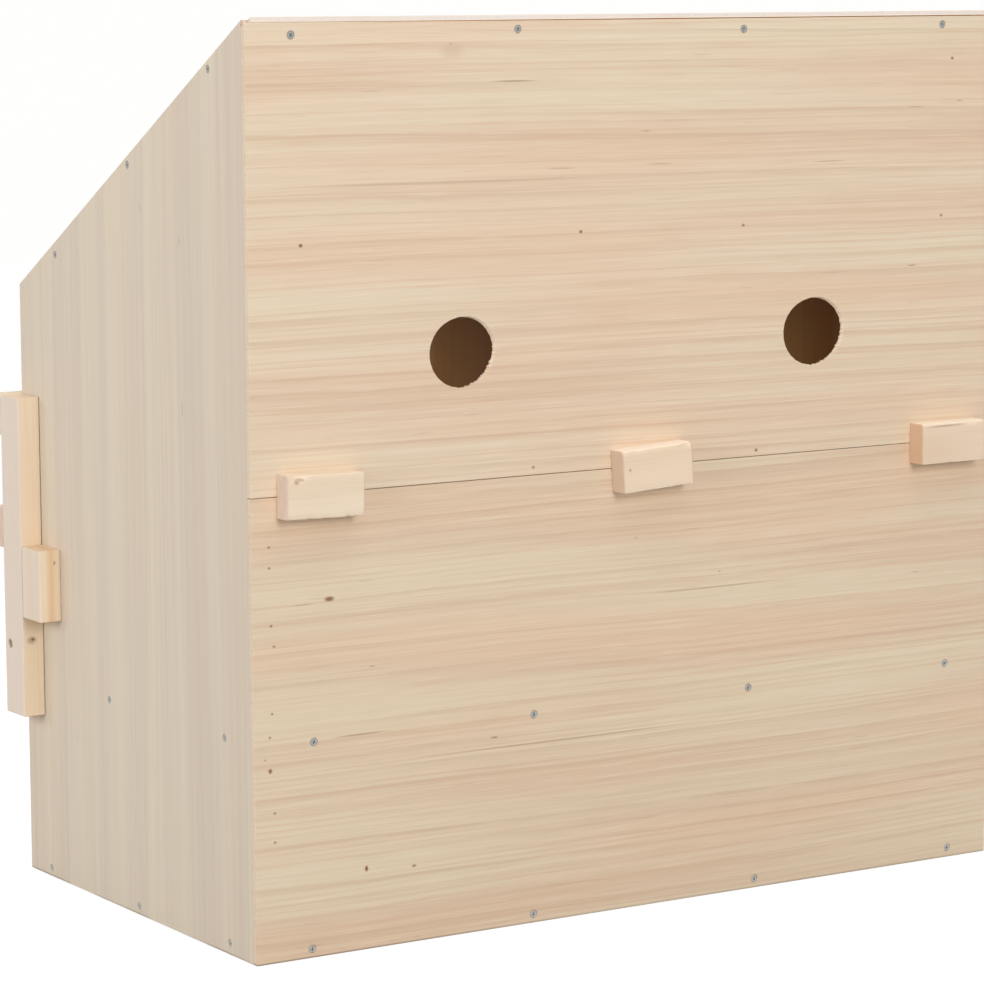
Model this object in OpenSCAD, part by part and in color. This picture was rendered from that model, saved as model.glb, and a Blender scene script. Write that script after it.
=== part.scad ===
// Chicken nesting box with two nests, a single-pitch roof and a fold-down perch.
// Millimetres, +Z up. The front with the entries and the perch faces -Y, the rear with the
// two vent holes faces +Y, and left and right are as seen from the front.
// The origin is on the ground, at the centre of the whole footprint.

/* [Box] */
// Width over the two side walls
box_w = 630; // [480:1:900]
// Depth from the rear face to the front edges of the side walls
box_d = 352; // [300:1:460]
// Height of the roof's rear edge above the ground
rear_h = 635.5; // [580:0.5:760]
// Pitch of the roof, falling to the front, in degrees
roof_slope = 29.3; // [18:0.1:34]
// Thickness of the plywood sheets of the walls, the floor and the divider
ply_t = 5; // [4:0.5:9]
// Thickness of the roof sheet
roof_t = 4; // [3:0.5:9]
// Section of the square battens inside, and thickness of the lip board
batten = 15; // [12:1:22]

/* [Rear wall] */
// Height of the joint between the two rear panels
seam_h = 318; // [280:1:340]
// Open width of the joint between the two rear panels
seam_gap = 0.5; // [0.2:0.1:2]
// Gap between the roof's underside and the top of the rear wall
roof_gap = 0.6; // [0.2:0.1:0.9]
// Diameter of a vent hole
vent_d = 50; // [30:1:70]
// Height of the vent holes' centres
vent_h = 406.5; // [390:0.5:450]
// Distance of a vent hole's centre from its end of the rear wall
vent_inset = 165; // [120:1:190]

/* [Cleats] */
// Length of a cleat along the joint
cleat_l = 59; // [30:1:80]
// Thickness of a cleat
cleat_t = 15.5; // [12:0.5:22]
// Height of a cleat
cleat_h = 30; // [24:1:45]
// Distance of the right cleat's centre from the right end of the rear wall
cleat_inset_right = 49; // [42:1:100]
// Distance of the left cleat's centre from the left end of the rear wall
cleat_inset_left = 46; // [42:1:100]
// Place of the middle cleat, from the middle of the rear wall
cleat_middle_x = -3; // [-30:1:30]
// Turn of the right cleat out of level, positive where its left end is the higher one, in degrees
cleat_turn_right = -1; // [-5:0.5:5]
// Turn of the middle cleat out of level, positive where its left end is the higher one, in degrees
cleat_turn_middle = 3.5; // [-5:0.5:5]
// Turn of the left cleat out of level, positive where its left end is the higher one, in degrees
cleat_turn_left = 0; // [-5:0.5:5]

/* [Nests] */
// Height of the nest floor's underside
floor_h = 157; // [140:1:160]
// Height of the lip board's top edge, at the foot of the entries
lip_h = 205; // [190:1:250]

/* [Perch] */
// Thickness of the sawn strips of the perch and its stops
strip_t = 17; // [14:1:22]
// Width of the sawn strips of the perch and its stops
strip_w = 30; // [25:1:36]
// Length of a perch arm
arm_l = 237; // [220:1:290]
// Length of the arm's tail below its pivot, with the perch folded up
arm_tail = 52; // [40:1:70]
// Gap between an arm and its side wall
arm_gap = 0.4; // [0.3:0.1:3]
// Distance from the top of one rail to the top of the other
rail_pitch = 84; // [60:1:120]
// Gap between the rails and the front edges of the side walls
rail_gap = 0.5; // [0.3:0.1:5]
// Height of the pivots
pivot_h = 173; // [170:1:178]
// Distance of a pivot behind its arm's front face
pivot_inset = 8; // [8:0.5:11]
// Length of a stop block
stop_l = 53; // [40:1:70]
// Gap between an arm and its stop block, with the perch folded up or down
stop_gap = 0.5; // [0.3:0.1:2]

/* [Pivot screws] */
// Diameter of a pivot screw's shank
screw_d = 5; // [3.5:0.5:6]
// Diameter of a pivot screw's head
screw_head_d = 8.5; // [7:0.5:10]
// Height of a pivot screw's head
screw_head_h = 3; // [2:0.5:4]
// Depth to which a pivot screw enters the lip board
screw_bite = 25; // [15:1:40]
// Gap round a pivot screw in its arm
pivot_gap = 0.3; // [0.2:0.05:0.4]
// Gap round a pivot screw in the side wall and the lip board
pilot_gap = 0.1; // [0.05:0.05:0.2]

/* [Hidden] */
$fn = 64;

// Colours of the sheets, the sawn pine and the screws
ply_colour = [0.87, 0.78, 0.67];
pine_colour = [0.91, 0.82, 0.69];
steel_colour = [0.62, 0.62, 0.60];
// Extra length of a cutter past each face that it cuts
past = 1;

// Depth of the whole: cleats, box, gap and rails
overall_d = cleat_t + box_d + rail_gap + strip_t;
// Outer face of the rear wall, and its inner face
rear_y = overall_d / 2 - cleat_t;
rear_in_y = rear_y - ply_t;
// Front edges of the side walls, and the rear face of the lip board
front_y = rear_y - box_d;
lip_in_y = front_y + batten;
// Outer and inner faces of the side walls
side_x = box_w / 2;
inner_x = side_x - ply_t;
// Height of the roof's top face at the front edges of the side walls
front_h = rear_h - tan(roof_slope) * (box_d - roof_t * sin(roof_slope));
// Height of the roof's top face, and of its underside, at a place along the depth
function roof_top(y) = front_h + tan(roof_slope) * (y - front_y);
function roof_under(y) = roof_top(y) - roof_t / cos(roof_slope);
// Undersides of the battens below the roof's two ends
front_top_z = roof_under(front_y) - batten;
rear_top_z = roof_under(rear_in_y - batten) - batten;
// Top of the nest floor
floor_top = floor_h + ply_t;

// Front and rear faces of the folded-up arms
arm_front_y = front_y - rail_gap;
arm_rear_y = arm_front_y + strip_w;
// Inner and outer faces of an arm
arm_in_x = side_x + arm_gap;
arm_out_x = arm_in_x + strip_t;
// Foot and head of the folded-up arms
arm_foot_z = pivot_h - arm_tail;
arm_top_z = arm_foot_z + arm_l;
// Pivot line
pivot_y = arm_front_y + pivot_inset;
// A stop's front face meets the raised arm, and its underside the lowered arm's tail
stop_front_y = arm_rear_y + stop_gap;
stop_foot_z = pivot_h + arm_rear_y - pivot_y + stop_gap;
// Depth of the recess that holds a pivot screw's head below the arm's outer face
recess_h = screw_head_h + 2 * pivot_gap;

// A solid between two opposite corners
module slab(low, high) {
  translate(low) cube(high - low);
}

// An outline in the YZ plane, run along X from one place to another
module along_x(from_x, to_x) {
  translate([from_x, 0, 0]) rotate([90, 0, 90]) linear_extrude(to_x - from_x) children();
}

// A round rod along X on the pivot line
module pivot_rod(from_x, to_x, d) {
  translate([from_x, pivot_y, pivot_h]) rotate([0, 90, 0]) cylinder(h = to_x - from_x, d = d);
}

// The same piece on the other side
module other_side() {
  mirror([1, 0, 0]) children();
}

// Side wall: one full-height sheet with a sloping top, drilled for the pivot screw
module side_wall() {
  color(ply_colour) difference() {
    along_x(inner_x, side_x) polygon([
      [front_y, 0],
      [rear_in_y, 0],
      [rear_in_y, roof_top(rear_in_y)],
      [front_y, front_h]
    ]);
    pivot_rod(inner_x - past, side_x + past, screw_d + 2 * pilot_gap);
  }
}

module right_wall() {
  side_wall();
}

module left_wall() {
  other_side() side_wall();
}

// Upper sheet of the rear wall: bevelled under the roof, with a vent hole into each nest
module rear_upper_panel() {
  color(ply_colour) difference() {
    along_x(-side_x, side_x) polygon([
      [rear_in_y, seam_h + seam_gap / 2],
      [rear_y, seam_h + seam_gap / 2],
      [rear_y, roof_under(rear_y) - roof_gap],
      [rear_in_y, roof_under(rear_in_y) - roof_gap]
    ]);
    for (side = [-1, 1])
      translate([side * (side_x - vent_inset), rear_y + past, vent_h])
        rotate([90, 0, 0]) cylinder(h = ply_t + 2 * past, d = vent_d);
  }
}

// Lower sheet of the rear wall
module rear_lower_panel() {
  color(ply_colour) slab([-side_x, rear_in_y, 0], [side_x, rear_y, seam_h - seam_gap / 2]);
}

// Roof: one sheet with square edges, between the side walls and over the rear wall
module roof_panel() {
  color(ply_colour) along_x(-inner_x, inner_x) polygon([
    [front_y, front_h],
    [front_y + roof_t * sin(roof_slope), front_h - roof_t * cos(roof_slope)],
    [rear_y, roof_under(rear_y)],
    [rear_y - roof_t * sin(roof_slope), rear_h]
  ]);
}

// Nest floor: one sheet under both nests, up to the lip board
module nest_floor() {
  color(ply_colour) slab([-inner_x, lip_in_y, floor_h], [inner_x, rear_in_y, floor_top]);
}

// Divider between the nests: from the floor to the roof, notched for the two end battens
module centre_divider() {
  color(ply_colour) along_x(-ply_t / 2, ply_t / 2) polygon([
    [lip_in_y, floor_top],
    [rear_in_y, floor_top],
    [rear_in_y, rear_top_z],
    [rear_in_y - batten, rear_top_z],
    [rear_in_y - batten, roof_under(rear_in_y - batten)],
    [lip_in_y, roof_under(lip_in_y)]
  ]);
}

// Lip board at the foot of the entries, drilled at both ends for the pivot screws
module front_lip_board() {
  color(pine_colour) difference() {
    slab([-inner_x, front_y, floor_h - batten], [inner_x, lip_in_y, lip_h]);
    for (side = [0, 1])
      mirror([side, 0, 0])
        pivot_rod(inner_x - screw_bite - past, inner_x + past, screw_d + 2 * pilot_gap);
  }
}

// Sheet that closes the front below the lip board
module front_lower_panel() {
  color(ply_colour) slab([-inner_x, front_y, 0], [inner_x, front_y + ply_t, floor_h - batten]);
}

// Batten under the roof's front edge, planed to the roof's slope
module front_top_batten() {
  color(pine_colour) along_x(-inner_x, inner_x) polygon([
    [front_y, front_top_z],
    [lip_in_y, front_top_z],
    [lip_in_y, roof_under(lip_in_y)],
    [front_y, roof_under(front_y)]
  ]);
}

// Batten behind the rear wall's top edge, planed to the roof's slope
module rear_top_batten() {
  color(pine_colour) along_x(-inner_x, inner_x) polygon([
    [rear_in_y - batten, rear_top_z],
    [rear_in_y, rear_top_z],
    [rear_in_y, roof_under(rear_in_y)],
    [rear_in_y - batten, roof_under(rear_in_y - batten)]
  ]);
}

// Sloping batten under one side of the roof
module roof_batten() {
  drop = batten / cos(roof_slope);
  color(pine_colour) along_x(inner_x - batten, inner_x) polygon([
    [lip_in_y, roof_under(lip_in_y) - drop],
    [rear_in_y - batten, roof_under(rear_in_y - batten) - drop],
    [rear_in_y - batten, roof_under(rear_in_y - batten)],
    [lip_in_y, roof_under(lip_in_y)]
  ]);
}

module right_roof_batten() {
  roof_batten();
}

module left_roof_batten() {
  other_side() roof_batten();
}

// Batten along the width, with its front face at a place along the depth
module cross_batten(y, z, reach_x) {
  color(pine_colour) slab([-reach_x, y, z], [reach_x, y + batten, z + batten]);
}

// Batten along a side wall, between two places along the depth
module side_batten(from_y, to_y, z) {
  color(pine_colour) slab([inner_x - batten, from_y, z], [inner_x, to_y, z + batten]);
}

// Battens that carry the nest floor
module front_floor_batten() {
  cross_batten(lip_in_y, floor_h - batten, inner_x - batten);
}

module rear_floor_batten() {
  cross_batten(rear_in_y - batten, floor_h - batten, inner_x);
}

module right_floor_batten() {
  side_batten(lip_in_y, rear_in_y - batten, floor_h - batten);
}

module left_floor_batten() {
  other_side() right_floor_batten();
}

// Battens round the foot of the box, on the ground
module front_bottom_batten() {
  cross_batten(front_y + ply_t, 0, inner_x - batten);
}

module rear_bottom_batten() {
  cross_batten(rear_in_y - batten, 0, inner_x);
}

module right_bottom_batten() {
  side_batten(front_y + ply_t, rear_in_y - batten, 0);
}

module left_bottom_batten() {
  other_side() right_bottom_batten();
}

// Cleat across the joint of the rear panels, centred on the joint and set a little askew
module rear_cleat(x, turn) {
  color(pine_colour) translate([x, rear_y, seam_h]) rotate([0, turn, 0])
    slab([-cleat_l / 2, 0, -cleat_h / 2], [cleat_l / 2, cleat_t, cleat_h / 2]);
}

module rear_cleat_right() {
  rear_cleat(side_x - cleat_inset_right, cleat_turn_right);
}

module rear_cleat_centre() {
  rear_cleat(cleat_middle_x, cleat_turn_middle);
}

module rear_cleat_left() {
  rear_cleat(cleat_inset_left - side_x, cleat_turn_left);
}

// Stop block on the side wall: in front of it rests the raised arm, below it the lowered tail
module perch_stop() {
  color(pine_colour) slab(
    [side_x, stop_front_y, stop_foot_z],
    [side_x + strip_t, stop_front_y + strip_w, stop_foot_z + stop_l]
  );
}

module right_perch_stop() {
  perch_stop();
}

module left_perch_stop() {
  other_side() perch_stop();
}

// Perch arm, drilled and recessed for its pivot screw
module perch_arm() {
  color(pine_colour) difference() {
    slab([arm_in_x, arm_front_y, arm_foot_z], [arm_out_x, arm_rear_y, arm_top_z]);
    pivot_rod(arm_in_x - past, arm_out_x + past, screw_d + 2 * pivot_gap);
    pivot_rod(arm_out_x - recess_h, arm_out_x + past, screw_head_d + 2 * pivot_gap);
  }
}

module right_perch_arm() {
  perch_arm();
}

module left_perch_arm() {
  other_side() perch_arm();
}

// Perch rail across the front faces of the two arms
module perch_rail(top_z) {
  color(pine_colour) slab(
    [-arm_out_x, arm_front_y - strip_t, top_z - strip_w],
    [arm_out_x, arm_front_y, top_z]
  );
}

module upper_perch_rail() {
  perch_rail(arm_top_z);
}

module lower_perch_rail() {
  perch_rail(arm_top_z - rail_pitch);
}

// Pivot screw: the head sits in the arm, the shank in the wall and the lip board
module pivot_screw() {
  head_x = arm_out_x - recess_h + pivot_gap;
  color(steel_colour) union() {
    pivot_rod(inner_x - screw_bite, head_x + screw_head_h, screw_d);
    pivot_rod(head_x, head_x + screw_head_h, screw_head_d);
  }
}

module right_pivot_screw() {
  pivot_screw();
}

module left_pivot_screw() {
  other_side() pivot_screw();
}

right_wall();
left_wall();
rear_upper_panel();
rear_lower_panel();
roof_panel();
nest_floor();
centre_divider();
front_lip_board();
front_lower_panel();
front_top_batten();
rear_top_batten();
right_roof_batten();
left_roof_batten();
front_floor_batten();
rear_floor_batten();
right_floor_batten();
left_floor_batten();
front_bottom_batten();
rear_bottom_batten();
right_bottom_batten();
left_bottom_batten();
rear_cleat_right();
rear_cleat_centre();
rear_cleat_left();
right_perch_stop();
left_perch_stop();
right_perch_arm();
left_perch_arm();
upper_perch_rail();
lower_perch_rail();
right_pivot_screw();
left_pivot_screw();
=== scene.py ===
# %% [markdown]
# # A chicken nesting box in plywood and pine
#
# The real box is made of thin plywood sheets, screwed to square pine battens, with a perch of sawn pine strips
# that folds down at the front. The CAD model already holds every solid at its right place, so this lesson only
# dresses it: eased edges, drilled screw holes, screws, and wood that looks like wood.

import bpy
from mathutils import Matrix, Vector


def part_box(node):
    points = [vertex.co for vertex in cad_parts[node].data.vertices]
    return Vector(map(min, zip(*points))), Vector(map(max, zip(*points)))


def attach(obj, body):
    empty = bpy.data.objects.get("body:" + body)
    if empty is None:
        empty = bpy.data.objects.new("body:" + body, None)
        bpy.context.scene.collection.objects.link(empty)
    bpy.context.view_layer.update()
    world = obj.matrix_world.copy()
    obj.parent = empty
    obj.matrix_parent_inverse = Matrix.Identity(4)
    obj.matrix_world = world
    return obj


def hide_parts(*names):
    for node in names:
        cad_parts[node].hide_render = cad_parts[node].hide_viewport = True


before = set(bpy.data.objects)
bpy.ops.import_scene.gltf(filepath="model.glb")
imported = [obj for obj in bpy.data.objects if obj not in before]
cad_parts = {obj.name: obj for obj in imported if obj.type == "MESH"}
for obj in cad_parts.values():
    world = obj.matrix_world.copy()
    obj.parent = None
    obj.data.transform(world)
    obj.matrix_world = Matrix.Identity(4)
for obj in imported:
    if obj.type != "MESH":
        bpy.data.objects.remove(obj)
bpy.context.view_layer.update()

# %% [markdown]
# The sizes that several pieces share come from the boxes of the CAD nodes, so they follow the model when it
# changes. Only the roof's pitch and thickness are repeated here, because a box doesn't tell an angle.

# %% Shared sizes, in metres
import math
import random

import bmesh
import bpy
from mathutils import Matrix, Vector, noise

MM = 0.001
X, Y, Z = Vector((1, 0, 0)), Vector((0, 1, 0)), Vector((0, 0, 1))
hands = (("right", 1), ("left", -1))

rear_low, rear_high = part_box("rear_lower_panel")
side_x, rear_y, rear_in_y = rear_high.x, rear_high.y, rear_low.y
ply = rear_y - rear_in_y
wall_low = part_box("right_wall")[0]
inner_x, front_y = wall_low.x, wall_low.y
batten_low, batten_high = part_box("rear_floor_batten")
batten = batten_high.z - batten_low.z
roof_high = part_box("roof_panel")[1].z
slope = math.radians(29.3)
up_slope = Vector((0, math.cos(slope), math.sin(slope)))
roof_thick = 4.0 * MM


def roof_top(y):
    """Height of the roof's top face at a place along the depth."""
    return roof_high + math.tan(slope) * (y - rear_y + roof_thick * math.sin(slope))


def roof_under(y):
    """Height of the roof's underside at a place along the depth."""
    return roof_top(y) - roof_thick / math.cos(slope)


print("sheet", round(ply / MM, 2), "mm, batten", round(batten / MM, 2), "mm, roof falls from",
      round(roof_top(rear_y), 4), "to", round(roof_top(front_y), 4))

# %% [markdown]
# ## Camera
#
# The photograph looks at the rear and the right-hand wall from some 2.8 m away through a long lens. The place and
# the angles come from fitting a pinhole camera to the box's straight edges, so the camera is given by them and
# not by hand. The frame is square: the image is taken to be 984 pixels each way.

# %% Camera at the photograph's place
camera_place = Vector((side_x + 1.1982, rear_y + 2.2058, 0.6547))
camera_yaw, camera_pitch, camera_roll = (math.radians(a) for a in (32.166, 7.563, -0.298))
focal_pixels, image_side, sensor = 3809.0, 984, 36.0

level = Vector((-math.sin(camera_yaw), -math.cos(camera_yaw), 0))
level_right = Vector((-math.cos(camera_yaw), math.sin(camera_yaw), 0))
ahead = level * math.cos(camera_pitch) - Z * math.sin(camera_pitch)
level_up = Z * math.cos(camera_pitch) + level * math.sin(camera_pitch)
right = level_right * math.cos(camera_roll) + level_up * math.sin(camera_roll)
up = level_up * math.cos(camera_roll) - level_right * math.sin(camera_roll)

lens = bpy.data.cameras.new("camera")
lens.sensor_width, lens.lens = sensor, sensor * focal_pixels / image_side
camera = bpy.data.objects.new("camera", lens)
camera.matrix_world = Matrix.Translation(camera_place) @ Matrix((right, up, -ahead)).transposed().to_4x4()
bpy.context.scene.collection.objects.link(camera)
bpy.context.scene.camera = camera
print("lens", round(lens.lens, 2), "mm")

# %% [markdown]
# ## Writing materials
#
# Every finish below is a node tree. Wiring nodes by hand hides the idea, so a small class wraps a socket and lets
# plain arithmetic add the Math nodes, and one method makes any other kind of node.

# %% A socket that can be calculated with


class Wire:
    """One output socket in a finish. Arithmetic on it adds Math nodes."""

    def __init__(self, finish, socket):
        self.finish, self.socket = finish, socket

    def math(self, operation, first, second=0.0):
        return self.finish.node("Math", {"operation": operation}, {0: first, 1: second})

    def __add__(self, other):
        return self.math("ADD", self, other)

    def __sub__(self, other):
        return self.math("SUBTRACT", self, other)

    def __rsub__(self, other):
        return self.math("SUBTRACT", other, self)

    def __mul__(self, other):
        return self.math("MULTIPLY", self, other)

    def __truediv__(self, other):
        return self.math("DIVIDE", self, other)

    def __rtruediv__(self, other):
        return self.math("DIVIDE", other, self)

    def __pow__(self, other):
        return self.math("POWER", self, other)

    def __rpow__(self, other):
        return self.math("POWER", other, self)

    def __abs__(self):
        return self.math("ABSOLUTE", self)

    __radd__, __rmul__ = __add__, __mul__


print("sums that a wire takes: + - * / ** and abs")

# %% A node tree with one method for its nodes


class Finish:
    """A node tree whose nodes are made by one method: that of a new material, or one that is given."""

    def __init__(self, name, tree=None):
        if tree is None:
            self.material = bpy.data.materials.new(name)
            self.material.use_nodes = True
            tree = self.material.node_tree
        self.tree = tree
        self.tree.nodes.clear()

    def node(self, kind, settings=None, sockets=None, output=0):
        made = self.tree.nodes.new("ShaderNode" + kind)
        for key, value in (settings or {}).items():
            setattr(made, key, value)
        for key, value in (sockets or {}).items():
            if isinstance(value, Wire):
                self.tree.links.new(value.socket, made.inputs[key])
            else:
                made.inputs[key].default_value = value
        return Wire(self, made.outputs[output]) if len(made.outputs) else made

    def local(self, place):
        """Object coordinates, seen from a piece's own frame, as three values."""
        spot = self.node("TexCoord", output="Object")
        turned = self.node("Mapping", {"vector_type": "TEXTURE"}, {
            "Vector": spot, "Location": place.to_translation(), "Rotation": place.to_euler()})
        return [self.node("SeparateXYZ", None, {0: turned}, axis) for axis in range(3)]

    def vector(self, x, y, z=0.0):
        return self.node("CombineXYZ", None, {0: x, 1: y, 2: z})

    def noise(self, x, y, z=None, detail=0.0, rough=0.5):
        dimensions = "2D" if z is None else "3D"
        return self.node("TexNoise", {"noise_dimensions": dimensions}, {
            "Vector": self.vector(x, y, 0.0 if z is None else z),
            "Scale": 1.0, "Detail": detail, "Roughness": rough})

    def rise(self, value, start, end):
        """0 before start, 1 after end, and smooth between them."""
        return self.node("MapRange", {"interpolation_type": "SMOOTHSTEP"}, {
            "Value": value, "From Min": start, "From Max": end})

    def tint(self, amount, under, over):
        return self.node("Mix", {"data_type": "RGBA"}, {0: amount, 6: under, 7: over}, 2)

    def seen(self):
        """1 for what the camera and reflections see, 0 for what only gives light."""
        camera_ray, glossy_ray, clear_ray = (self.node("LightPath", output="Is " + ray + " Ray")
                                             for ray in ("Camera", "Glossy", "Transmission"))
        return camera_ray + glossy_ray + clear_ray

    def surface(self, shader):
        self.node("OutputMaterial", None, {"Surface": shader})
        return self.material


print("finish ready")

# %% [markdown]
# A shader takes linear light, while a colour as an image shows it is stored along a curve. One function turns the
# second into the first, so every colour below is written as it looks.

# %% Colours as they look


def srgb(red, green, blue):
    """A colour as an image shows it, 0 to 255, as the linear colour that a shader takes."""
    parts = (c / 255 for c in (red, green, blue))
    return tuple(p / 12.92 if p <= 0.04045 else ((p + 0.055) / 1.055) ** 2.4 for p in parts) + (1.0,)


print("mid grey as a shader takes it", [round(c, 3) for c in srgb(128, 128, 128)])

# %% [markdown]
# ## Floor and light
#
# The box stands in a plain white studio. A floor sheet takes the soft shadow near the box and fades to pure
# white further out, for what the camera and reflections see. The world and six large soft lamps light the wood
# at a level at which its colours come out about as they are written: a warm key lamp behind the camera, a cool
# fill on each side wall, one at the front right that reaches into the nests, a soft one for the front, and a weak
# one overhead.

# %% Floor
floor_size, floor_drop = 6.0, 0.4 * MM
fade_start, fade_end = 0.55, 1.6
floor_grey, floor_lift = 0.42, 0.72

bm = bmesh.new()
bmesh.ops.create_grid(bm, x_segments=1, y_segments=1, size=floor_size, matrix=Matrix.Translation(-floor_drop * Z))
mesh = bpy.data.meshes.new("studio_floor")
bm.to_mesh(mesh)
bm.free()
floor = bpy.data.objects.new("studio_floor", mesh)
bpy.context.scene.collection.objects.link(floor)

paint = Finish("floor_white")
seen = paint.seen()
spot = paint.node("TexCoord", output="Object")
away = paint.rise(paint.node("VectorMath", {"operation": "LENGTH"}, {0: spot}, "Value"), fade_start, fade_end)
matt = paint.node("BsdfDiffuse", None, {"Color": (floor_grey, floor_grey, floor_grey, 1)})
lift = paint.node("Emission", None, {"Color": (1, 1, 1, 1), "Strength": seen * floor_lift})
near = paint.node("AddShader", None, {0: matt, 1: lift})
white = paint.node("Emission", None, {"Color": (1, 1, 1, 1), "Strength": 1.0})
mesh.materials.append(paint.surface(paint.node("MixShader", None, {0: seen * away, 1: near, 2: white})))
print("floor", 2 * floor_size, "m wide")

# %% World
ambient = 0.36
world = bpy.data.worlds.new("studio")
world.use_nodes = True
sky = Finish("studio", world.node_tree)
shade = sky.node("Background", None, {
    "Color": (1.0, 0.995, 0.985, 1), "Strength": sky.seen() * (1 - ambient) + ambient})
sky.node("OutputWorld", None, {"Surface": shade})
bpy.context.scene.world = world
bpy.context.scene.view_settings.view_transform = "Standard"
print("light from all round", ambient)

# %% Lamps


def soft_lamp(name, place, aim, width, watts, colour):
    """A square lamp that shines from a place towards an aim."""
    lamp = bpy.data.lights.new(name, "AREA")
    lamp.shape, lamp.size, lamp.energy, lamp.color = "SQUARE", width, watts, colour
    thing = bpy.data.objects.new(name, lamp)
    thing.location = place
    thing.rotation_euler = (Vector(aim) - Vector(place)).to_track_quat("-Z", "Y").to_euler()
    thing.visible_camera = thing.visible_glossy = False
    bpy.context.scene.collection.objects.link(thing)
    return thing


lamps = [
    soft_lamp("key", (0.5, 4.6, 1.9), (0, 0.1, 0.3), 1.8, 108, (1.0, 0.993, 0.995)),
    soft_lamp("side_fill", (3.3, 0.75, 1.1), (0.3, 0, 0.3), 1.6, 40, (0.93, 0.97, 1.0)),
    soft_lamp("left_fill", (-3.3, -0.65, 1.1), (-0.3, 0, 0.3), 1.6, 30, (0.96, 0.98, 1.0)),
    soft_lamp("front_fill", (2.9, -1.5, 1.1), (0, -0.1, 0.35), 1.4, 18, (0.97, 0.98, 1.0)),
    soft_lamp("front_soft", (-1.3, -3.0, 2.0), (0, -0.1, 0.3), 1.8, 48, (1.0, 0.99, 0.98)),
    soft_lamp("top_light", (0.3, 0.9, 3.0), (0, 0.1, 0.3), 2.0, 22, (1.0, 0.98, 0.96)),
]
print("lamps", [lamp.name for lamp in lamps])

# %% [markdown]
# ## Plywood
#
# The sheets are three-ply with a pale face veneer. Its grain runs along the sheet: wide soft bands that wander a
# little, thin growth lines inside them, fine fibres, and a few pores and pin knots. A solid pattern in the
# sheet's own frame does all of it: u along the grain, v across it and w out of the face. The core ply shows
# wherever an edge or a hole cuts into the depth, so no edge needs a material of its own.

# %% Tones and layers of the plywood
upper_tones = srgb(232, 216, 191), srgb(222, 196, 170)
lower_tones = srgb(229, 213, 186), srgb(217, 191, 165)
side_tones = srgb(221, 208, 186), srgb(213, 197, 180)
roof_tones = srgb(240, 233, 223), srgb(232, 221, 209)
# The brown of a sheet's inner face is painted shade for the dark inside of the box.
inside_shade_tones = srgb(198, 151, 91), srgb(183, 131, 72)
core_tones = srgb(229, 208, 187), srgb(222, 198, 174)
roof_core = srgb(227, 217, 209), srgb(221, 209, 200)
veneer_tan, veneer_cream = srgb(229, 199, 170), srgb(230, 215, 187)
growth_line, line_pink, pale_fibre = srgb(196, 160, 128), srgb(213, 172, 142), srgb(240, 224, 202)
# contact_shadow_tone is the brown of a painted shadow along the foot of every sheet, where it stands on the floor.
pore_dark, glue, contact_shadow_tone = srgb(134, 80, 52), srgb(178, 144, 112), srgb(126, 106, 86)
veneer, layer_blend = 1.1 * MM, 0.15 * MM
print("plywood veneer", round(veneer / MM, 2), "mm of a", round(ply / MM, 2), "mm sheet")

# %% A piece's own frame


def frame_of(origin, along, across):
    """A piece's own frame: the grain along its first axis, the outer face's normal along its third."""
    out = along.cross(across)
    return Matrix.Translation(origin) @ Matrix((along, across, out)).transposed().to_4x4()


print("grain along u, across v, face out along w")

# %% [markdown]
# Pin knots, dark pores and short lines are single marks at known places, so each is an ellipse with a soft rim, and
# where two meet the darker one shows. Growth lines repeat instead: early wood darkens slowly into late wood and
# then ends sharply, so the fraction of a count of rings, bent by noise, gives them.

# %% Marks and growth lines


def marks_mask(f, u, v, marks):
    """Small dark marks: each is (u, v, half length, half height, darkness), in mm."""
    spot, total = f.vector(u, v), 0.0
    for mark_u, mark_v, half_u, half_v, darkness in marks:
        scale, shift = (1 / (half_u * MM), 1 / (half_v * MM), 0), (-mark_u / half_u, -mark_v / half_v, 0)
        reach = f.node("VectorMath", {"operation": "MULTIPLY_ADD"}, {0: spot, 1: scale, 2: shift})
        reach = f.node("VectorMath", {"operation": "LENGTH"}, {0: reach}, "Value")
        mark = f.node("MapRange", None, {"Value": reach, "From Min": 1.0, "From Max": 0.4, "To Max": darkness})
        total = mark.math("MAXIMUM", mark, total)
    return total


def growth(f, along, phase, start):
    """Growth lines: a slow darkening that ends sharply, each line with its own strength."""
    ring = phase.math("FRACT", phase)
    strength = f.noise(along, (phase - ring) * 3.7)
    return f.rise(ring, start, 0.94) * f.rise(ring, 1.0, 0.95) * f.rise(strength, 0.3, 0.7)


print("marks and growth lines ready")

# %% [markdown]
# The finish adds up from large to small: bands and streaks choose between a sheet's two tones, then patches, growth
# lines, fibres, pores and marks tint that. The depth below the face then picks veneer, core, glue line or the brown
# back, which is painted shade standing in for the dark inside of the box. Each noise takes waves per metre, first
# along the grain and then across it.

# %% Plywood finish
wide_gap, thin_gap = 11.5 * MM, 4.2 * MM
ply_relief = 0.15 * MM


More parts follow.
